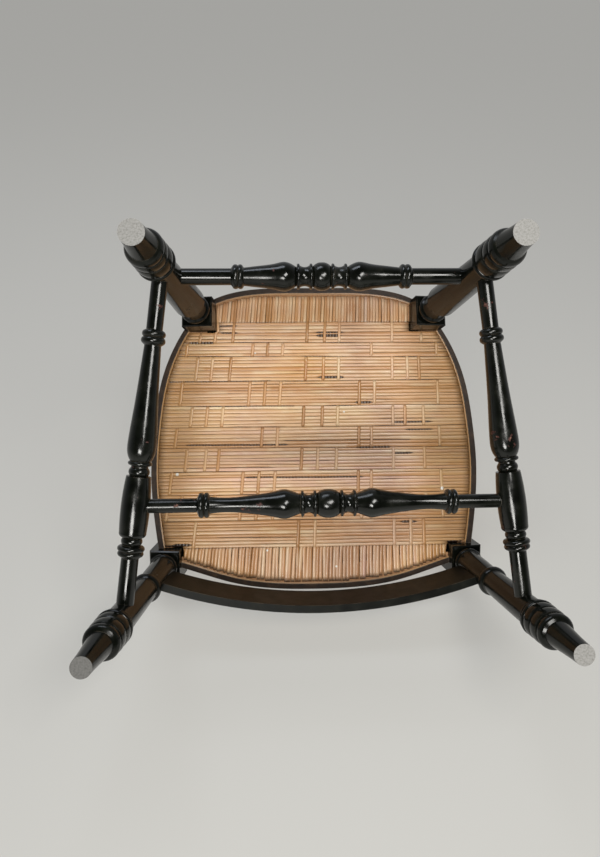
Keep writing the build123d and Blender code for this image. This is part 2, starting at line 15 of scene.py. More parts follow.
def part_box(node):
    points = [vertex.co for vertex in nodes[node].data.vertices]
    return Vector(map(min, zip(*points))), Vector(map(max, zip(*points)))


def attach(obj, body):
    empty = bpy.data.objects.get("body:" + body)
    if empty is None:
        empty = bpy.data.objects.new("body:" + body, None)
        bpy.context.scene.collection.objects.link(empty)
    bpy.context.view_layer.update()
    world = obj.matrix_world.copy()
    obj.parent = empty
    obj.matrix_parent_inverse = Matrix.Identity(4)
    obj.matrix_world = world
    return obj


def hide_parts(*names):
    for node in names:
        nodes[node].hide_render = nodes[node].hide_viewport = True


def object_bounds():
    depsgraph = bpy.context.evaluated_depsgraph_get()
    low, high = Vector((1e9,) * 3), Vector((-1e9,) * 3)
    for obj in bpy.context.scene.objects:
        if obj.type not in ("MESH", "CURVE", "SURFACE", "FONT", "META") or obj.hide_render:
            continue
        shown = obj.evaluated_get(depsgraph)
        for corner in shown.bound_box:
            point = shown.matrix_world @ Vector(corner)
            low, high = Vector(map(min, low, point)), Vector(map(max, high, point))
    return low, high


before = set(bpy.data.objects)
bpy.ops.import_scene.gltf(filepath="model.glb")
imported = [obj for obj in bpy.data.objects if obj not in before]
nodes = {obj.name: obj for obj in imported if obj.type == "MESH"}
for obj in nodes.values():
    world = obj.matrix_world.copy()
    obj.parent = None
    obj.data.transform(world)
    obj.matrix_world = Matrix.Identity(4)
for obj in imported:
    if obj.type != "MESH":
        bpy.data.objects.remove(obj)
cad_low, cad_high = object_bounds()
MM = 0.001
print("CAD box, mm:", [round(v / MM) for v in cad_high - cad_low])

# %% [markdown]
# ## The camera
# The chair lies upside down on its seat and back, and is looked at from above its feet. Turning
# the chair over would move the CAD parts, so the camera goes below the chair instead and looks
# up at it. Its three directions are written out, because a camera on its back has no plain
# "up" for a track constraint to use.

# %% The camera
CAMERA_PLACE = Vector((55.35, -8.64, -606.2)) * MM
CAMERA_FORWARD = Vector((-0.0396, 0.0148, 0.9991))
CAMERA_UP = Vector((-0.0112, 0.9998, -0.0153))
FRAME_LONG_SIDE = 857
FOCAL_IN_FRAME = 653.3

camera_data = bpy.data.cameras.new("camera")
camera_data.sensor_width = 36.0
camera_data.lens = camera_data.sensor_width * FOCAL_IN_FRAME / FRAME_LONG_SIDE
camera_data.clip_start = 0.01
camera = bpy.data.objects.new("camera", camera_data)
bpy.context.scene.collection.objects.link(camera)
back = -CAMERA_FORWARD.normalized()
right = CAMERA_UP.cross(back).normalized()
up = back.cross(right)
turn_of_camera = Matrix((right, up, back)).transposed().to_4x4()
camera.matrix_world = Matrix.Translation(CAMERA_PLACE) @ turn_of_camera
bpy.context.scene.camera = camera
bpy.context.scene.view_settings.view_transform = "Standard"
print("lens, mm:", round(camera_data.lens, 2))

# %% [markdown]
# ## Nodes and colours
# Every finish below is built from shader nodes. One helper adds a node, sets what is constant
# on it and joins what comes from other nodes. Colours are written as sRGB hex, the way a paint
# card gives them, and shaders work in linear light, so one function turns one into the other.

# %% A node, a colour, a finish
def srgb(code):
    """A linear RGBA colour from a hex code such as "#C8A578"."""
    channels = [int(code[i:i + 2], 16) / 255 for i in (1, 3, 5)]
    linear = [c / 12.92 if c <= 0.04045 else ((c + 0.055) / 1.055) ** 2.4 for c in channels]
    return (*linear, 1.0)


def add(tree, kind, links=(), values=(), **settings):
    """Add a node. links and values are pairs of a socket and what goes into it."""
    made = tree.nodes.new(kind)
    for name, value in settings.items():
        setattr(made, name, value)
    for socket, value in values:
        made.inputs[socket].default_value = value
    for socket, source in links:
        tree.links.new(source, made.inputs[socket])
    return made


def new_finish(name):
    """An empty material and its node tree."""
    material = bpy.data.materials.new(name)
    material.use_nodes = True
    material.node_tree.nodes.clear()
    return material, material.node_tree


def paint_ramp(ramp, stops):
    """Set the stops of a colour ramp: pairs of a position and a hex code."""
    while len(ramp.elements) < len(stops):
        ramp.elements.new(0.5)
    for element, (position, code) in zip(ramp.elements, stops):
        element.position = position
        element.color = srgb(code)


def arrises(tree, radius, samples, least, most):
    """1 on the arrises, 0 on flat faces. A Bevel node rounds the normal near an edge, and where
    it differs from the true one by more than least, up to most, there is an edge to wear."""
    rounded = add(tree, "ShaderNodeBevel", values=[("Radius", radius)], samples=samples)
    shape = add(tree, "ShaderNodeNewGeometry")
    facing = add(tree, "ShaderNodeVectorMath",
                 [(0, rounded.outputs["Normal"]), (1, shape.outputs["Normal"])],
                 operation="DOT_PRODUCT")
    edge = add(tree, "ShaderNodeMapRange", [("Value", facing.outputs["Value"])],
               [("From Min", least), ("From Max", most)])
    return edge.outputs[0]


print("black varnish is", [round(v, 4) for v in srgb("#0D0F0A")[:3]])

# %% [markdown]
# ## Ebonised beech
# The wood was stained black and given several coats of black spirit varnish while it turned in
# the lathe. To the eye that is a deep, slightly green black with a clear gloss: IOR about 1.5,
# roughness about 0.15, broken by dust, fine scratches and small chips down to the red-brown
# stain. The feet were sawn off level afterwards, so they show bare, greyed end grain.
# Chips could be painted by hand; noise placed by the wood's own coordinates does it on every
# turned part at once, and the arrises found above wear where that noise is high. The apron was
# brushed, not turned, so its varnish is duller; the stretchers were knocked about the most.

# %% Ebonised beech
DUST_SIZE = 55            # patches per metre, so about 18 mm
SCRATCH_SIZE = 700        # about 1.4 mm
CHIP_SIZE = 42            # about 24 mm between chips
EDGE_WEAR = 1.1 * MM
FOOT_SKIN = 0.6 * MM      # how far up the sawn face of a foot can be told from its side


def ebonised_beech(name, chip_level, smooth, dull_most, shine):
    """Black varnish over beech. A lower chip_level gives more chips; smooth and dull_most are
    the least and the most roughness, and shine is the strength of the reflections."""
    material, tree = new_finish(name)
    place = add(tree, "ShaderNodeTexCoord")
    spot = place.outputs["Object"]
    dust = add(tree, "ShaderNodeTexNoise", [("Vector", spot)],
               [("Scale", DUST_SIZE), ("Detail", 5.0), ("Roughness", 0.62)])
    scratch = add(tree, "ShaderNodeTexNoise", [("Vector", spot)],
                  [("Scale", SCRATCH_SIZE), ("Detail", 3.0)])
    varnish = add(tree, "ShaderNodeValToRGB", [("Fac", dust.outputs["Fac"])])
    paint_ramp(varnish.color_ramp, [(0.30, "#070806"), (0.58, "#0D0F0A"), (0.82, "#1C1B15")])

    chip_noise = add(tree, "ShaderNodeTexNoise", [("Vector", spot)],
                     [("Scale", CHIP_SIZE), ("Detail", 6.0), ("Roughness", 0.7)])
    chips = add(tree, "ShaderNodeMapRange", [("Value", chip_noise.outputs["Fac"])],
                [("From Min", chip_level), ("From Max", chip_level + 0.02)])
    deep = add(tree, "ShaderNodeMapRange", [("Value", chip_noise.outputs["Fac"])],
               [("From Min", chip_level + 0.045), ("From Max", chip_level + 0.06)])
    bare = add(tree, "ShaderNodeMix", [("Factor", deep.outputs[0])],
               [("A", srgb("#43211A")), ("B", srgb("#B98E6E"))], data_type="RGBA")

    edge = arrises(tree, EDGE_WEAR, 4, 0.985, 0.90)
    patchy = add(tree, "ShaderNodeMapRange", [("Value", dust.outputs["Fac"])],
                 [("From Min", 0.46), ("From Max", 0.60)])
    rubbed = add(tree, "ShaderNodeMath",
                 [(0, edge), (1, patchy.outputs[0])], operation="MULTIPLY")

    worn = add(tree, "ShaderNodeMix",
               [("Factor", rubbed.outputs[0]), ("A", varnish.outputs["Color"])],
               [("B", srgb("#4A4338"))], data_type="RGBA")
    chipped = add(tree, "ShaderNodeMix",
                  [("Factor", chips.outputs[0]), ("A", worn.outputs["Result"]),
                   ("B", bare.outputs["Result"])], data_type="RGBA")

    parts = add(tree, "ShaderNodeSeparateXYZ", [("Vector", spot)])
    turn = add(tree, "ShaderNodeSeparateXYZ", [("Vector", place.outputs["Normal"])])
    low = add(tree, "ShaderNodeMath", [(0, parts.outputs["Z"])], [(1, FOOT_SKIN)],
              operation="LESS_THAN")
    down = add(tree, "ShaderNodeMath", [(0, turn.outputs["Z"])], [(1, -0.8)],
               operation="LESS_THAN")
    sole = add(tree, "ShaderNodeMath", [(0, low.outputs[0]), (1, down.outputs[0])],
               operation="MULTIPLY")
    pores = add(tree, "ShaderNodeTexNoise", [("Vector", spot)],
                [("Scale", 520.0), ("Detail", 4.0), ("Roughness", 0.6)])
    grain = add(tree, "ShaderNodeValToRGB", [("Fac", pores.outputs["Fac"])])
    paint_ramp(grain.color_ramp, [(0.30, "#767470"), (0.50, "#8E8D8A"), (0.72, "#9C9A97")])
    corner = add(tree, "ShaderNodeMath", [(0, parts.outputs["X"]), (1, parts.outputs["Y"])],
                 operation="SUBTRACT")
    grimy = add(tree, "ShaderNodeMapRange", [("Value", corner.outputs[0])],
                [("From Min", 0.2), ("From Max", 0.4), ("To Min", 1.0), ("To Max", 0.45)])
    end_grain = add(tree, "ShaderNodeVectorMath",
                    [(0, grain.outputs["Color"]), ("Scale", grimy.outputs[0])], operation="SCALE")
    colour = add(tree, "ShaderNodeMix",
                 [("Factor", sole.outputs[0]), ("A", chipped.outputs["Result"]),
                  ("B", end_grain.outputs["Vector"])], data_type="RGBA")

    gloss = add(tree, "ShaderNodeMapRange", [("Value", dust.outputs["Fac"])],
                [("From Min", 0.3), ("From Max", 0.8), ("To Min", smooth), ("To Max", dull_most)])
    dulled = add(tree, "ShaderNodeMath", [(0, rubbed.outputs[0]), (1, chips.outputs[0])],
                 operation="MAXIMUM")
    dull = add(tree, "ShaderNodeMath", [(0, dulled.outputs[0]), (1, sole.outputs[0])],
               operation="MAXIMUM")
    rough = add(tree, "ShaderNodeMix", [(0, dull.outputs[0]), (2, gloss.outputs[0])],
                [(3, 0.62)], data_type="FLOAT")
    height = add(tree, "ShaderNodeMath", [(0, scratch.outputs["Fac"]), (1, dust.outputs["Fac"])],
                 operation="ADD")
    relief = add(tree, "ShaderNodeBump", [("Height", height.outputs[0])],
                 [("Strength", 0.3), ("Distance", 0.06 * MM)])
    shader = add(tree, "ShaderNodeBsdfPrincipled",
                 [("Base Color", colour.outputs["Result"]), ("Roughness", rough.outputs[0]),
                  ("Normal", relief.outputs["Normal"])],
                 [("IOR", 1.52), ("Specular IOR Level", shine)])
    add(tree, "ShaderNodeOutputMaterial", [("Surface", shader.outputs["BSDF"])])
    return material


varnished = ebonised_beech("ebonised_beech", 0.70, 0.10, 0.32, 0.26)
satin = ebonised_beech("ebonised_beech_satin", 0.70, 0.34, 0.52, 0.16)
knocked = ebonised_beech("ebonised_beech_knocked", 0.650, 0.08, 0.34, 0.40)
print("finishes:", varnished.name, satin.name, knocked.name)

# %% [markdown]
# ## Edge strips, rails and nails
# The strips nailed round the seat are bent ash, stained near-black. Hands and floors have rubbed
# their outer arris to pale wood, which the same Bevel trick finds. The rails inside the cane were
# never finished: bare beech, with its fine dark flecks. The nails are blackened iron.

# %% Edge strips
STRIP_WEAR = 1.3 * MM


def stained_ash():
    """Dark stained ash with a rubbed arris. Dull: the stain has no varnish over it."""
    material, tree = new_finish("stained_ash")
    place = add(tree, "ShaderNodeTexCoord")
    spot = place.outputs["Object"]
    long_grain = add(tree, "ShaderNodeMapping", [("Vector", spot)], [("Scale", (1.0, 1.0, 6.0))])
    grain = add(tree, "ShaderNodeTexNoise", [("Vector", long_grain.outputs[0])],
                [("Scale", 90.0), ("Detail", 7.0), ("Roughness", 0.7)])
    stain = add(tree, "ShaderNodeValToRGB", [("Fac", grain.outputs["Fac"])])
    paint_ramp(stain.color_ramp, [(0.28, "#140D07"), (0.52, "#281A0F"), (0.78, "#453220")])
    edge = arrises(tree, STRIP_WEAR, 6, 0.90, 0.70)
    patches = add(tree, "ShaderNodeTexNoise", [("Vector", spot)],
                  [("Scale", 38.0), ("Detail", 5.0), ("Roughness", 0.65)])
    patchy = add(tree, "ShaderNodeMapRange", [("Value", patches.outputs["Fac"])],
                 [("From Min", 0.36), ("From Max", 0.56)])
    rubbed = add(tree, "ShaderNodeMath",
                 [(0, edge), (1, patchy.outputs[0])], operation="MULTIPLY")
    colour = add(tree, "ShaderNodeMix",
                 [("Factor", rubbed.outputs[0]), ("A", stain.outputs["Color"])],
                 [("B", srgb("#9A9184"))], data_type="RGBA")
    relief = add(tree, "ShaderNodeBump", [("Height", grain.outputs["Fac"])],
                 [("Strength", 0.5), ("Distance", 0.15 * MM)])
    shader = add(tree, "ShaderNodeBsdfPrincipled",
                 [("Base Color", colour.outputs["Result"]), ("Normal", relief.outputs["Normal"])],
                 [("Roughness", 0.5), ("IOR", 1.5), ("Specular IOR Level", 0.25)])
    add(tree, "ShaderNodeOutputMaterial", [("Surface", shader.outputs["BSDF"])])
    return material


strip_finish = stained_ash()
print("finish:", strip_finish.name)

# %% Bare beech and blackened iron
def bare_beech():
    """Unfinished beech: pink-brown, with short dark flecks a millimetre or two long."""
    material, tree = new_finish("bare_beech")
    place = add(tree, "ShaderNodeTexCoord")
    stretch = add(tree, "ShaderNodeMapping", [("Vector", place.outputs["Object"])],
                  [("Scale", (1.0, 1.0, 0.4))])
    fleck = add(tree, "ShaderNodeTexNoise", [("Vector", stretch.outputs[0])],
                [("Scale", 600.0), ("Detail", 4.0)])
    tone = add(tree, "ShaderNodeValToRGB", [("Fac", fleck.outputs["Fac"])])
    paint_ramp(tone.color_ramp, [(0.35, "#7C5638"), (0.55, "#A67B52"), (0.75, "#B58C62")])
    shader = add(tree, "ShaderNodeBsdfPrincipled", [("Base Color", tone.outputs["Color"])],
                 [("Roughness", 0.7), ("IOR", 1.5)])
    add(tree, "ShaderNodeOutputMaterial", [("Surface", shader.outputs["BSDF"])])
    return material


def blackened_iron():
    """Old wire nails: dark oxide with a little rust in the hollows."""
    material, tree = new_finish("blackened_iron")
    place = add(tree, "ShaderNodeTexCoord")
    oxide = add(tree, "ShaderNodeTexNoise", [("Vector", place.outputs["Object"])],
                [("Scale", 900.0), ("Detail", 4.0)])
    tone = add(tree, "ShaderNodeValToRGB", [("Fac", oxide.outputs["Fac"])])
    paint_ramp(tone.color_ramp, [(0.40, "#1E1C1B"), (0.62, "#2E2825"), (0.78, "#5A3A26")])
    shader = add(tree, "ShaderNodeBsdfPrincipled", [("Base Color", tone.outputs["Color"])],
                 [("Roughness", 0.5), ("Metallic", 0.6)])
    add(tree, "ShaderNodeOutputMaterial", [("Surface", shader.outputs["BSDF"])])
    return material


rail_finish = bare_beech()
nail_finish = blackened_iron()
print("finishes:", rail_finish.name, nail_finish.name)

# %% [markdown]
# ## Split cane
# Cane is the outer skin of rattan, split into strips about 4 mm wide and 1 mm thick. Its outside
# is naturally glossy, its tone runs from straw through honey to ochre from strip to strip, and
# fine fibres run along it. Each strip carries three numbers on its points: its own shade of
# colour, how much it is darkened there, which is painted shade where the warp lies hidden under
# the weft and plain darkening near the ends and towards the front, and, through its UVs, where a
# point lies across and along it. The shader reads those, so fibres follow every strip round bends
# without any picture. It also paints shade into the seams at the edges of each strip, pale gleams
# along some strips as painted highlights, and painted shade in a patch in the middle of the seat.

# %% Split cane
FIBRES_ACROSS = 7.0       # fibres across a strip, drawn coarser than real ones so that they show
FIBRE_REPEAT = 30.0       # per metre along a strip
SPECK_SIZE = 75.0         # paint specks: one cell every 13 mm, few of them filled
PAINTED_SHADE_MIDDLE = (-0.05, -0.03, 0.28)   # the point towards which the seat is painted darker, as painted shade


def split_cane(name, gloss_share):
    """Natural cane. gloss_share is the weight of the clear natural skin."""
    material, tree = new_finish(name)
    place = add(tree, "ShaderNodeTexCoord")
    spot = place.outputs["Object"]
    strip = add(tree, "ShaderNodeSeparateXYZ", [("Vector", place.outputs["UV"])])
    shade = add(tree, "ShaderNodeAttribute", attribute_name="shade")
    dirt_and_shade = add(tree, "ShaderNodeAttribute", attribute_name="dirt_and_shade")

    slow = add(tree, "ShaderNodeTexNoise", [("Vector", spot)],
               [("Scale", 18.0), ("Detail", 3.0), ("Roughness", 0.6)])
    drift = add(tree, "ShaderNodeMapRange", [("Value", slow.outputs["Fac"])],
                [("To Min", -0.28), ("To Max", 0.28)])
    pick = add(tree, "ShaderNodeMath", [(0, shade.outputs["Fac"]), (1, drift.outputs[0])],
               operation="ADD")
    tone = add(tree, "ShaderNodeValToRGB", [("Fac", pick.outputs[0])])
    paint_ramp(tone.color_ramp, [(0.00, "#A97A46"), (0.22, "#C08F5C"), (0.42, "#CA9F74"),
                                 (0.62, "#D3AF86"), (0.82, "#D2AA90"), (1.00, "#E4D0AE")])

    across = add(tree, "ShaderNodeMath", [(0, strip.outputs["X"])], [(1, FIBRES_ACROSS)],
                 operation="MULTIPLY")
    along = add(tree, "ShaderNodeMath", [(0, strip.outputs["Y"])], [(1, FIBRE_REPEAT)],
                operation="MULTIPLY")
    fibre_place = add(tree, "ShaderNodeCombineXYZ",
                      [("X", across.outputs[0]), ("Y", along.outputs[0]),
                       ("Z", shade.outputs["Fac"])])
    fibre = add(tree, "ShaderNodeTexNoise", [("Vector", fibre_place.outputs[0])],
                [("Scale", 1.0), ("Detail", 4.0), ("Roughness", 0.6)])
    streak = add(tree, "ShaderNodeMapRange", [("Value", fibre.outputs["Fac"])],
                 [("From Min", 0.3), ("From Max", 0.7), ("To Min", 0.90), ("To Max", 1.06)])

    # Painted shade in the seams: each strip is darkened towards its two edges, down to 0.86, and
    # lit below is the fibre streaks times this painted shade.
    off_middle = add(tree, "ShaderNodeMath", [(0, strip.outputs["X"])], [(1, 0.5)],
                     operation="SUBTRACT")
    side = add(tree, "ShaderNodeMath", [(0, off_middle.outputs[0])], operation="ABSOLUTE")
    painted_crevice_shade = add(tree, "ShaderNodeMapRange", [("Value", side.outputs[0])],
                  [("From Min", 0.42), ("From Max", 0.50), ("To Min", 1.0), ("To Max", 0.86)])
    lit = add(tree, "ShaderNodeMath", [(0, streak.outputs[0]), (1, painted_crevice_shade.outputs[0])],
              operation="MULTIPLY")
    fibrous = add(tree, "ShaderNodeVectorMath",
                  [(0, tone.outputs["Color"]), ("Scale", lit.outputs[0])], operation="SCALE")

    # Painted highlights: pale cream streaks along some strips, mixed into the colour, stand for
    # gleams of light on the glossy skin.
    gleam_place = add(tree, "ShaderNodeCombineXYZ",
                      [("Y", along.outputs[0]), ("Z", shade.outputs["Fac"])],
                      [("X", 3.0)])
    gleam = add(tree, "ShaderNodeTexNoise", [("Vector", gleam_place.outputs[0])],
                [("Scale", 0.55), ("Detail", 2.0)])
    gleaming = add(tree, "ShaderNodeMapRange", [("Value", gleam.outputs["Fac"])],
                   [("From Min", 0.56), ("From Max", 0.66), ("To Max", 0.42)])
    gleamed = add(tree, "ShaderNodeMix",
                  [("Factor", gleaming.outputs[0]), ("A", fibrous.outputs["Vector"])],
                  [("B", srgb("#E2CFAE"))], data_type="RGBA")
    stains = add(tree, "ShaderNodeTexNoise", [("Vector", spot)],
                 [("Scale", 7.0), ("Detail", 3.0), ("Roughness", 0.55)])
    wash = add(tree, "ShaderNodeValToRGB", [("Fac", stains.outputs["Fac"])])
    paint_ramp(wash.color_ramp, [(0.34, "#F8E4BE"), (0.46, "#FFF8EC"), (0.56, "#F8F0EE"),
                                 (0.68, "#E0D6D8")])
    washed = add(tree, "ShaderNodeMix",
                 [("A", gleamed.outputs["Result"]), ("B", wash.outputs["Color"])],
                 [("Factor", 1.0)], data_type="RGBA", blend_type="MULTIPLY")
    # Painted shade: the cane is darkened towards a point in the middle of the seat, down to 0.76
    # of its colour.
    from_patch = add(tree, "ShaderNodeVectorMath", [(0, spot)], [(1, PAINTED_SHADE_MIDDLE)],
                     operation="DISTANCE")
    painted_shade_patch = add(tree, "ShaderNodeMapRange", [("Value", from_patch.outputs["Value"])],
                 [("From Min", 0.03), ("From Max", 0.15), ("To Min", 0.76), ("To Max", 1.0)])
    with_painted_shade = add(tree, "ShaderNodeVectorMath",
                  [(0, washed.outputs["Result"]), ("Scale", painted_shade_patch.outputs[0])],
                  operation="SCALE")

    out_from_middle = add(tree, "ShaderNodeSeparateXYZ", [("Vector", spot)])
    sideways = add(tree, "ShaderNodeMath", [(0, out_from_middle.outputs["X"])],
                   operation="ABSOLUTE")
    ochre = add(tree, "ShaderNodeMapRange", [("Value", sideways.outputs[0])],
                [("From Min", 0.12), ("From Max", 0.21), ("To Max", 0.75)])
    tanned = add(tree, "ShaderNodeMix",
                 [("Factor", ochre.outputs[0]), ("A", with_painted_shade.outputs["Vector"])],
                 [("B", srgb("#A57A44"))], data_type="RGBA")
    # Mixed towards dark brown by the strand's second number: painted shade where the warp lies
    # hidden under the weft, and a plain darkening near the ends of strands and towards the front.
    soiled_and_shaded = add(tree, "ShaderNodeMix",
                 [("Factor", dirt_and_shade.outputs["Fac"]), ("A", tanned.outputs["Result"])],
                 [("B", srgb("#2A1A0F"))], data_type="RGBA")

    cells = add(tree, "ShaderNodeTexVoronoi", [("Vector", spot)], [("Scale", SPECK_SIZE)])
    chosen = add(tree, "ShaderNodeSeparateXYZ", [("Vector", cells.outputs["Color"])])
    rare = add(tree, "ShaderNodeMath", [(0, chosen.outputs["X"])], [(1, 0.975)],
               operation="GREATER_THAN")
    small = add(tree, "ShaderNodeMath", [(0, cells.outputs["Distance"])], [(1, 0.16)],
                operation="LESS_THAN")
    speck = add(tree, "ShaderNodeMath", [(0, rare.outputs[0]), (1, small.outputs[0])],
                operation="MULTIPLY")
    colour = add(tree, "ShaderNodeMix",
                 [("Factor", speck.outputs[0]), ("A", soiled_and_shaded.outputs["Result"])],
                 [("B", srgb("#DCD8CE"))], data_type="RGBA")

    rough = add(tree, "ShaderNodeMapRange", [("Value", fibre.outputs["Fac"])],
                [("To Min", 0.34), ("To Max", 0.62)])
    relief = add(tree, "ShaderNodeBump", [("Height", fibre.outputs["Fac"])],
                 [("Strength", 0.4), ("Distance", 0.12 * MM)])
    shader = add(tree, "ShaderNodeBsdfPrincipled",
                 [("Base Color", colour.outputs["Result"]), ("Roughness", rough.outputs[0]),
                  ("Normal", relief.outputs["Normal"])],
                 [("IOR", 1.5), ("Coat Weight", gloss_share), ("Coat Roughness", 0.22)])
    add(tree, "ShaderNodeOutputMaterial", [("Surface", shader.outputs["BSDF"])])
    return material


cane_finish = split_cane("split_cane", 0.35)
print("finish:", cane_finish.name)

# %% [markdown]
# ## The seat's outline
# The strands have to stop where the CAD's cane plate stops: at the edge strips and round the
# four blocks. Its outline could be typed in again, but then two files could disagree. Here it is
# read from the plate itself: the plate's walls all have a lower edge, and a straight line
# across the seat meets those edges where a strand begins and ends.

# %% The outline, from the plate
def outline_of(node):
    """The lower outline of a plate, as an array of edges: (point, xyz), two points each."""
    mesh = nodes[node].data
    points = np.zeros(len(mesh.vertices) * 3, np.float32)
    mesh.vertices.foreach_get("co", points)
    points = points.reshape(-1, 3).astype(float)
    floor = points[:, 2].min() + 0.3 * MM
    walls = {}
    for face in mesh.polygons:
        corners = list(face.vertices)
        low = [i for i in corners if points[i, 2] < floor]
        if 2 <= len(low) < len(corners):
            for a, b in zip(corners, corners[1:] + corners[:1]):
                if points[a, 2] < floor and points[b, 2] < floor:
                    walls[(a, b)] = (points[a], points[b])
    return np.array(list(walls.values()))


def crossings(edges, level, axis):
    """Where the outline crosses the line x = level (axis 0) or y = level (axis 1)."""
    a = edges[:, 0, axis]
    b = edges[:, 1, axis]
    hit = (a - level) * (b - level) < 0
    share = (level - a[hit]) / (b[hit] - a[hit])
    other = 1 - axis
    return np.sort(edges[hit, 0, other] + share * (edges[hit, 1, other] - edges[hit, 0, other]))


outline = outline_of("cane_underside")
seat_low, seat_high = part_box("cane_underside")
middle_y = (seat_low.y + seat_high.y) / 2
print("outline edges:", len(outline), "across the middle, mm:",
      [round(v / MM, 1) for v in crossings(outline, middle_y, 1)])

# %% [markdown]
# ## One strand
# A strand is a flat strip with a domed face. It could be a Bezier curve with a bevel, but then
# its width, its tilt and its darkening, for dirt and for painted shade, could not change freely
# along it. So each is a small lofted mesh: at every step along it stands a ring of five points,
# and rings are joined by quads. All strands of one layer go into one mesh.

# %% Strands to mesh
# across, in widths, and through, in thicknesses, with the domed face first
SECTION = [(-0.50, 0.05), (-0.42, 0.34), (0.0, 0.50), (0.42, 0.34), (0.50, 0.05)]


class Layer:
    """Collects strands, then makes one mesh of them."""

    def __init__(self):
        self.points = []
        self.faces = []
        self.uvs = []
        self.shades = []
        self.dirt_and_shade_values = []
        self.caps = []
        self.count = 0

    def strand(self, along, centre, width, height, thick, face, axis, shade, dirt_and_shade, roll):
        """Add a strand. Its rings stand at along; centre, width, height, dirt and roll are arrays.
        axis 0 runs along X, axis 1 along Y; face is +1 for a strand that shows from above."""
        rings = len(along)
        start = self.count
        for k, (side, through) in enumerate(SECTION):
            a = side * width
            h = through * thick
            sideways = centre + a * np.cos(roll) - h * np.sin(roll)
            upward = height + face * (a * np.sin(roll) + h * np.cos(roll))
            pair = (along, sideways) if axis == 0 else (sideways, along)
            self.points.append(np.stack([*pair, upward], axis=1))
            self.uvs.append(np.stack([np.full(rings, k / 4), along + shade * 7.3], axis=1))
            self.shades.append(np.full(rings, shade))
            self.dirt_and_shade_values.append(dirt_and_shade)
        flip = (face > 0) == (axis == 0)
        ring = np.arange(rings - 1)
        for k in range(5):
            a = start + k * rings + ring
            b = start + (k + 1) % 5 * rings + ring
            quad = [a, a + 1, b + 1, b] if flip else [a, b, b + 1, a + 1]
            self.faces.append(np.stack(quad, axis=1))
        self.count += 5 * rings
        for end in (0, rings - 1):
            cap = [start + k * rings + end for k in range(5)]
            self.caps.append(cap if (end == 0) == flip else cap[::-1])

    def make(self, name, finish, stands_for):
        """The mesh object, riding on the chair in place of its CAD plate."""
        mesh = bpy.data.meshes.new(name)
        quads = np.concatenate(self.faces).tolist()
        mesh.from_pydata(np.concatenate(self.points), [], quads + self.caps)
        uv_of_point = np.concatenate(self.uvs)
        corner = np.zeros(len(mesh.loops), np.int32)
        mesh.loops.foreach_get("vertex_index", corner)
        uv = mesh.uv_layers.new(name="strand")
        uv.data.foreach_set("uv", uv_of_point[corner].astype(np.float32).ravel())
        for label, values in (("shade", self.shades), ("dirt_and_shade", self.dirt_and_shade_values)):
            attribute = mesh.attributes.new(label, "FLOAT", "POINT")
            attribute.data.foreach_set("value", np.concatenate(values).astype(np.float32))
        mesh.polygons.foreach_set("use_smooth", [True] * len(mesh.polygons))
        mesh.materials.append(finish)
        mesh.update()
        made = bpy.data.objects.new(name, mesh)
        bpy.context.scene.collection.objects.link(made)
        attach(made, "root")
        for node in stands_for:
            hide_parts(node)
        print(name, "has", len(mesh.vertices), "points")
        return made


def smooth_step(x):
    """0 below 0, 1 above 1, and smooth between."""
    t = np.clip(x, 0, 1)
    return t * t * (3 - 2 * t)


def waver(rng, places, size, reach):
    """A smooth random line over places: about one bend every size metres, reach high."""
    total = np.zeros(len(places))
    for share, bends in ((1.0, 1.0), (0.5, 2.3)):
        phase = rng.uniform(0, 2 * np.pi)
        turn = bends * rng.uniform(0.7, 1.3) / size
        total += share * np.sin(2 * np.pi * places * turn + phase)
    return total * reach / 1.5


# %% [markdown]
# ## The weave underneath
# Two sets of strands cross. The warp runs from front to back over the whole seat, and is bare in
# the two bowed ends. The seat is wider in front, so the warp fans out a little on its way there.
# Between the blocks the weft runs from side to side in bands and covers the warp, except where a
# warp strand drops over one band: two or three together, then a space, with the next band's
# groups half way between. The weaver packed some bands tighter than others, so each band's edge
# is measured. Old cane shrinks and frays: some strands part and the warp behind them shows,
# painted dark as the shade under the weft. Those slits are listed from the real seat's damage, in
# millimetres.

# %% Sizes of the weave
WARP_PITCH = 4.05 * MM
WEFT_PITCH = 4.5 * MM
STRAND_THICK = 1.1 * MM
STEP = 3.5 * MM
TURN_UP = 5 * MM          # the length over which a strand's end turns up into the seat
MARGIN = 1 * MM
BAND_EDGES = (158, 130, 111, 78, 44, 15.5, -13, -44, -75.5, -93, -111, -147.5)
FLOATS_EVEN = (156, 134, 114, 10.5, -12.5, -34, -107, -126, -146)
FLOATS_ODD = (84, 63.5, 42, -64, -79, 172, -168)
LOOSE_SHARE = 0.2         # seams where two strands have drifted apart for a stretch
LOOSE_FADE = 12 * MM
FLOAT_SHARE = 0.9
FLOAT_RISE = 3.5 * MM
HIDE_RISE = 3 * MM
FAN = 0.115               # how much wider the warp is in front than behind
FAN_MIDDLE = -110 * MM    # the strand that runs straight
FAN_REAR, FAN_FRONT = 120 * MM, -130 * MM

SLIT_FADE = 5 * MM
# slits between weft strands: from x, to x, y from the middle, width
SLITS = [(107, 134, 152.5, 1.7), (106, 123, 144.7, 2.0), (138, 166, 128.5, 2.6),
         (60, 78, 158.0, 1.4), (26, 56, 157.6, 1.2), (-34, -8, 138.0, 3.6), (-38, -6, 143.5, 2.0),
         (-37, -9, 82.5, 3.0), (-75, -59, 50.0, 3.0), (-157, -110, 18.5, 2.2),
         (-158, -128, 10.0, 1.8), (40, 171, -6.3, 1.8), (-128, 40, -2.5, 0.8),
         (-130, -110, -22.5, 2.4), (-62, 92, -51.5, 1.8), (-100, -60, -11.5, 2.4),
         (-134, -120, -114.5, 3.0), (30, 150, 46.0, 1.1), (60, 205, 78.0, 1.1),
         (172, 190, -141.0, 3.2)]

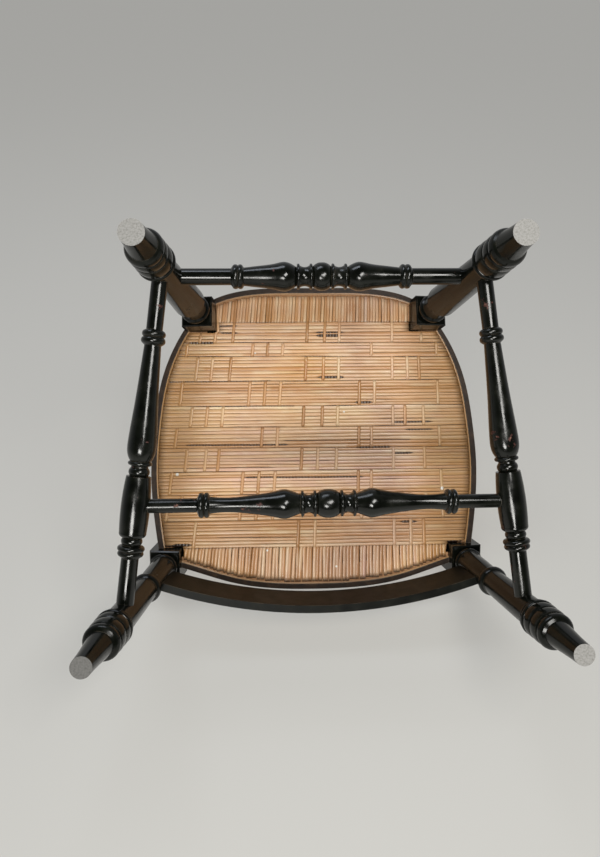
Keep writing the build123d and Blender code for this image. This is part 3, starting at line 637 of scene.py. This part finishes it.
band_edges = np.array(BAND_EDGES) * MM + middle_y
bands = len(band_edges) - 1
per_band = [max(4, round(h / WEFT_PITCH)) for h in band_edges[:-1] - band_edges[1:]]
print("strands in each band:", per_band)

# %% The seams of the weft
rng = np.random.default_rng(1887)
UNDER = seat_low.z
WEFT_Z = UNDER + 0.75 * MM
WARP_BARE_Z = UNDER + 0.6 * MM
WARP_HIDDEN_Z = UNDER + 1.9 * MM
FLOAT_Z = UNDER - 0.45 * MM

seams = []
band_of = []
for band, count in enumerate(per_band):
    shares = np.arange(count) / count
    seams += list(band_edges[band] + (band_edges[band + 1] - band_edges[band]) * shares)
    band_of += [band] * count
seams = np.array(seams + [band_edges[-1]])
half_seat = max(abs(seat_low.x), abs(seat_high.x))
reach = np.arange(-half_seat - STEP, half_seat + STEP, STEP)

seam_y = []
seam_gap = []
for number, level in enumerate(seams):
    between_bands = level in band_edges
    bend = waver(rng, reach, 0.35, 0.5 * MM) + waver(rng, reach, 0.06, 0.10 * MM)
    tilt = reach * rng.normal(0, 0.003)
    gap = np.clip(waver(rng, reach, 0.12, 0.25 * MM), 0, None)
    if between_bands:
        gap = gap + 0.30 * MM + np.clip(waver(rng, reach, 0.15, 0.6 * MM), 0, None)
    if rng.random() < LOOSE_SHARE:
        from_x = rng.uniform(-0.17, 0.1)
        inside = smooth_step((reach - from_x) / LOOSE_FADE)
        inside *= smooth_step((from_x + rng.uniform(0.03, 0.13) - reach) / LOOSE_FADE)
        gap = gap + inside * rng.uniform(0.2, 0.8) * MM
    seam_y.append(level + bend + tilt)
    seam_gap.append(gap)
seam_y = np.array(seam_y)
seam_gap = np.array(seam_gap)
for from_x, to_x, level, width in SLITS:
    near = int(np.argmin(abs(seams - (level * MM + middle_y))))
    inside = smooth_step((reach - from_x * MM + SLIT_FADE) / SLIT_FADE)
    inside *= smooth_step((to_x * MM + SLIT_FADE - reach) / SLIT_FADE)
    seam_gap[near] = np.maximum(seam_gap[near], inside * width * MM)

print("seams:", len(seams), "widest slit, mm:", round(float(seam_gap.max()) / MM, 1))

# %% The weft underneath
weft = Layer()
band_tone = rng.uniform(-0.12, 0.12, bands)
for number in range(len(seams) - 1):
    upper = seam_y[number] - seam_gap[number] / 2
    lower = seam_y[number + 1] + seam_gap[number + 1] / 2
    centre = (upper + lower) / 2
    ends = crossings(outline, float(np.mean(centre)), 1)
    left = ends[ends < 0].max()
    right_end = ends[ends > 0].min()
    inner = reach[(reach > left + MARGIN) & (reach < right_end - MARGIN)]
    along = np.concatenate([[left], inner, [right_end]])
    centre = np.interp(along, reach, centre)
    width = np.interp(along, reach, upper - lower)
    height = WEFT_Z + waver(rng, along, 0.05, 0.10 * MM) + rng.normal(0, 0.05 * MM)
    to_end = np.minimum(along - left, right_end - along)
    height = height + 1.0 * MM * (1 - smooth_step(to_end / TURN_UP))
    roll = np.radians(rng.normal(0, 3.0) + waver(rng, along, 0.09, 2.0))
    shade = np.clip(rng.normal(0.5 + band_tone[band_of[number]], 0.18), 0, 1)
    # Darker towards the ends of the strand, within 12 mm of them.
    dirt_and_shade = 0.55 * (1 - smooth_step(to_end / (12 * MM)))
    weft.strand(along, centre, np.maximum(width, 1.2 * MM), height, STRAND_THICK, -1, 0,
                shade, dirt_and_shade, roll)
weft.make("cane_weft_underside", cane_finish, ["cane_underside"])

# %% The warp underneath
warp = Layer()
rows = np.arange(seat_low.y + MARGIN, seat_high.y - MARGIN, 2 * MM)
row_ends = [crossings(outline, float(y), 1) for y in rows]
row_right = np.array([ends[ends < 0].max() for ends in row_ends])
row_left = np.array([ends[ends > 0].min() for ends in row_ends])
to_front = (FAN_REAR + middle_y - rows) / (FAN_REAR - FAN_FRONT)

starts = np.arange(-half_seat, half_seat, WARP_PITCH)
floats = {}
for band in range(bands):
    for x in FLOATS_ODD if band % 2 else FLOATS_EVEN:
        strand = int(np.argmin(abs(starts - x * MM + rng.normal(0, 0.8 * MM))))
        if rng.random() < FLOAT_SHARE:
            floats.setdefault(strand, []).append(band)

for number, x in enumerate(starts):
    pairing = (0.2 if number % 2 else -0.2) * MM * smooth_step((to_front - 0.98) / 0.1)
    centre = x + FAN * (x - FAN_MIDDLE) * to_front + pairing + waver(rng, rows, 0.25, 0.3 * MM)
    centre = centre + rng.normal(0, 0.7 * MM) * smooth_step((to_front - 1.05) / 0.25)
    half = WARP_PITCH * 0.35
    inside = np.flatnonzero((centre > row_right + half) & (centre < row_left - half))
    if len(inside) < 6:
        continue
    shown = slice(inside[0], inside[-1] + 1)
    along, centre = rows[shown], centre[shown]
    centre = np.clip(centre, row_right[shown] + half, row_left[shown] - half)
    hidden = smooth_step((along - band_edges[-1]) / HIDE_RISE + 0.5)
    hidden *= smooth_step((band_edges[0] - along) / HIDE_RISE + 0.5)
    over = np.zeros(len(along))
    for band in floats.get(number, []):
        rise = smooth_step((band_edges[band] - along) / FLOAT_RISE + 0.4)
        rise *= smooth_step((along - band_edges[band + 1]) / FLOAT_RISE + 0.4)
        over = np.maximum(over, rise)
    height = WARP_BARE_Z + (WARP_HIDDEN_Z - WARP_BARE_Z) * hidden
    height = height + (FLOAT_Z - height) * over + waver(rng, along, 0.07, 0.08 * MM)
    height += rng.normal(0, 0.08 * MM)
    to_end = np.minimum(along - along[0], along[-1] - along)
    height = height + 1.2 * MM * (1 - smooth_step(to_end / TURN_UP))
    height = np.minimum(height, WARP_HIDDEN_Z)
    width = WARP_PITCH * (1 + FAN * to_front[shown]) * rng.uniform(0.96, 1.04)
    # Painted shade: where the warp lies hidden under the weft it is painted dark, as the shade
    # there. The next terms make it darker near its ends, most at its front end.
    dirt_and_shade = 0.9 * hidden * (1 - over) + 0.3 * (1 - smooth_step(to_end / (8 * MM)))
    dirt_and_shade += 0.5 * (1 - smooth_step((along - along[0]) / (7 * MM)))
    # Darker towards the front of the seat.
    dirt_and_shade += 0.1 * smooth_step((to_front[shown] - 1.05) / 0.1)
    dirt_and_shade = np.clip(dirt_and_shade, 0, 1)
    roll = np.radians(rng.normal(0, 2.5) + waver(rng, along, 0.12, 1.5))
    shade = np.clip(rng.normal(0.42, 0.16), 0, 1)
    warp.strand(along, centre, width, height, STRAND_THICK, -1, 1, shade, dirt_and_shade, roll)
warp.make("cane_warp_underside", cane_finish, ["cane_underside"])

# %% [markdown]
# ## The weave on top
# A sitter meets the other face of the seat: a close twill, two over and two under, which covers
# the whole seat. Each strand's height follows a square wave with rounded corners, and the
# neighbours' waves are shifted by one, which gives the slanting ribs of a twill.

# %% The twill on top
TOP_LOW, TOP_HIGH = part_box("cane_top")
TWILL_PITCH = 5.0 * MM
TWILL_LIFT = 0.48 * MM
TWILL_Z = TOP_HIGH.z - 0.95 * MM
TWILL_THICK = 0.9 * MM
TWILL_MARGIN = 1.2 * MM
top_outline = outline_of("cane_top")


def twill_height(along, own_number, origin):
    """+1 where the strand is over, -1 where it is under, smooth between."""
    slot_at = (along - origin) / TWILL_PITCH
    phase = (slot_at + own_number) / 4
    return np.clip(2.6 * np.sin(2 * np.pi * phase), -1, 1)


for axis, name in ((0, "cane_weft_top"), (1, "cane_warp_top")):
    twill = Layer()
    low, high = (TOP_LOW.y, TOP_HIGH.y) if axis == 0 else (TOP_LOW.x, TOP_HIGH.x)
    other_low = TOP_LOW.x if axis == 0 else TOP_LOW.y
    number = 0
    level = low + TWILL_PITCH / 2
    while level < high:
        ends = crossings(top_outline, float(level), 1 - axis)
        middle = 0.0 if axis == 0 else middle_y
        if len(ends) >= 2 and ends.min() < middle < ends.max():
            first = ends[ends < middle].max()
            last = ends[ends > middle].min()
            inner = np.arange(first + TWILL_MARGIN, last - TWILL_MARGIN, TWILL_PITCH / 3)
            along = np.concatenate([[first], inner, [last]])
            wave = twill_height(along, number if axis == 0 else -number, other_low)
            sign = 1 if axis == 0 else -1
            height = TWILL_Z + sign * TWILL_LIFT * wave
            to_end = np.minimum(along - first, last - along)
            height = height - 0.5 * MM * (1 - smooth_step(to_end / (4 * MM)))
            width = np.full(len(along), TWILL_PITCH * 0.93)
            centre = np.full(len(along), level) + waver(rng, along, 0.2, 0.15 * MM)
            shade = np.clip(rng.normal(0.55, 0.2), 0, 1)
            # Darker near the ends of the strand.
            dirt_and_shade = 0.35 * (1 - smooth_step(to_end / (10 * MM)))
            roll = np.radians(np.full(len(along), rng.normal(0, 1.5)))
            twill.strand(along, centre, width, height, TWILL_THICK, 1, axis, shade, dirt_and_shade, roll)
        level += TWILL_PITCH
        number += 1
    twill.make(name, cane_finish, ["cane_top"])

# %% [markdown]
# ## Finishes on the CAD parts
# The CAD parts keep their meshes. Each one gets a finish by what it is: the knocked-about
# varnish goes on the stretchers, where shoes and furniture hit.

# %% Finishes on the CAD parts
for name, part in nodes.items():
    if name.startswith("edge_strip"):
        finish = strip_finish
    elif name.startswith("seat_rail"):
        finish = rail_finish
    elif name.startswith("cane"):
        finish = cane_finish
    elif name == "strip_nails":
        finish = nail_finish
    elif name == "front_apron":
        finish = satin
    elif "stretcher" in name:
        finish = knocked
    else:
        finish = varnished
    part.data.materials.clear()
    part.data.materials.append(finish)
print("finished", len(nodes), "CAD parts")

# %% [markdown]
# ## Floor and light
# The chair lies on the front edge of its seat and on the top of its back, so the floor is a plane
# through those two. It is one-sided: from behind it is clear, which leaves the chair in view
# from every side, and it glows a little so that it stays an even pale grey. Black varnish shows
# what it reflects, not its own colour. So the room is dark below, where the camera is, and the
# lamps are few and small: one beside the camera draws the long streaks on the turnings, one
# lights the front of the seat from below, a cool one stands beyond the rear legs, and a broad
# one above lights the upright views.

# %% The floor
FLOOR_TOUCH = Vector((0.0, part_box("edge_strip_front")[0].y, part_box("front_leg_left")[1].z))
BACK_TOP = Vector((0.0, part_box("back_stile_left")[1].y, cad_high.z))
floor_along = (BACK_TOP - FLOOR_TOUCH).normalized()
floor_across = Vector((1.0, 0.0, 0.0))
floor_facing = floor_across.cross(floor_along)
if floor_facing.dot(CAMERA_PLACE - FLOOR_TOUCH) < 0:
    floor_facing.negate()
FLOOR_HALF = 14.0

floor_mesh = bpy.data.meshes.new("floor")
corners = [FLOOR_TOUCH - floor_facing * 2 * MM + floor_across * a * FLOOR_HALF + floor_along * b
           for a, b in ((-1, -6.0), (1, -6.0), (1, 22.0), (-1, 22.0))]
floor_mesh.from_pydata(corners, [], [(0, 1, 2, 3)])
if floor_mesh.polygons[0].normal.dot(floor_facing) < 0:
    floor_mesh.flip_normals()
floor = bpy.data.objects.new("floor", floor_mesh)
bpy.context.scene.collection.objects.link(floor)
floor.visible_shadow = False

floor_paint, tree = new_finish("pale_floor")
side = add(tree, "ShaderNodeNewGeometry")
matt = add(tree, "ShaderNodeBsdfDiffuse", values=[("Color", srgb("#8E8D89"))])
clear = add(tree, "ShaderNodeBsdfTransparent")
even = add(tree, "ShaderNodeEmission", values=[("Color", srgb("#C4C3BF")), ("Strength", 0.60)])
lit = add(tree, "ShaderNodeAddShader", [(0, matt.outputs[0]), (1, even.outputs[0])])
one_sided = add(tree, "ShaderNodeMixShader",
                [(0, side.outputs["Backfacing"]), (1, lit.outputs[0]), (2, clear.outputs[0])])
add(tree, "ShaderNodeOutputMaterial", [("Surface", one_sided.outputs[0])])
floor_mesh.materials.append(floor_paint)
print("floor faces", [round(v, 3) for v in floor_facing])

# %% The lights
def lamp(name, place, aim, width, height, watts, colour):
    """A soft rectangular lamp at place, turned towards aim."""
    data = bpy.data.lights.new(name, "AREA")
    data.shape = "RECTANGLE"
    data.size = width
    data.size_y = height
    data.energy = watts
    data.color = srgb(colour)[:3]
    made = bpy.data.objects.new(name, data)
    made.location = place
    made.rotation_mode = "QUATERNION"
    made.rotation_quaternion = (Vector(aim) - Vector(place)).to_track_quat("-Z", "Y")
    bpy.context.scene.collection.objects.link(made)


SEAT_MIDDLE = (0.0, 0.0, 0.25)
lamp("window", (0.5, 1.7, -0.5), SEAT_MIDDLE, 1.2, 0.5, 10.0, "#E4ECF8")
lamp("lamp_by_camera", (-0.25, 0.22, -0.95), SEAT_MIDDLE, 0.32, 0.55, 9.5, "#FFFDF8")
lamp("lamp_in_front", (0.30, -0.60, -1.45), SEAT_MIDDLE, 0.6, 0.4, 17.0, "#FFFDF8")
lamp("lamp_above", (-1.0, -1.6, 2.4), SEAT_MIDDLE, 1.6, 1.6, 40.0, "#FFFDF8")

world = bpy.data.worlds.new("room")
bpy.context.scene.world = world
world.use_nodes = True
tree = world.node_tree
tree.nodes.clear()
looking = add(tree, "ShaderNodeTexCoord")
ways = add(tree, "ShaderNodeSeparateXYZ", [("Vector", looking.outputs["Generated"])])
lift = add(tree, "ShaderNodeMapRange", [("Value", ways.outputs["Z"])],
           [("From Min", -0.7), ("From Max", 0.5)])
room = add(tree, "ShaderNodeMix", [("Factor", lift.outputs[0])],
           [("A", srgb("#2C2E30")), ("B", srgb("#D8DADD"))], data_type="RGBA")
glow = add(tree, "ShaderNodeBackground", [("Color", room.outputs["Result"])],
           [("Strength", 0.7)])
add(tree, "ShaderNodeOutputWorld", [("Surface", glow.outputs[0])])
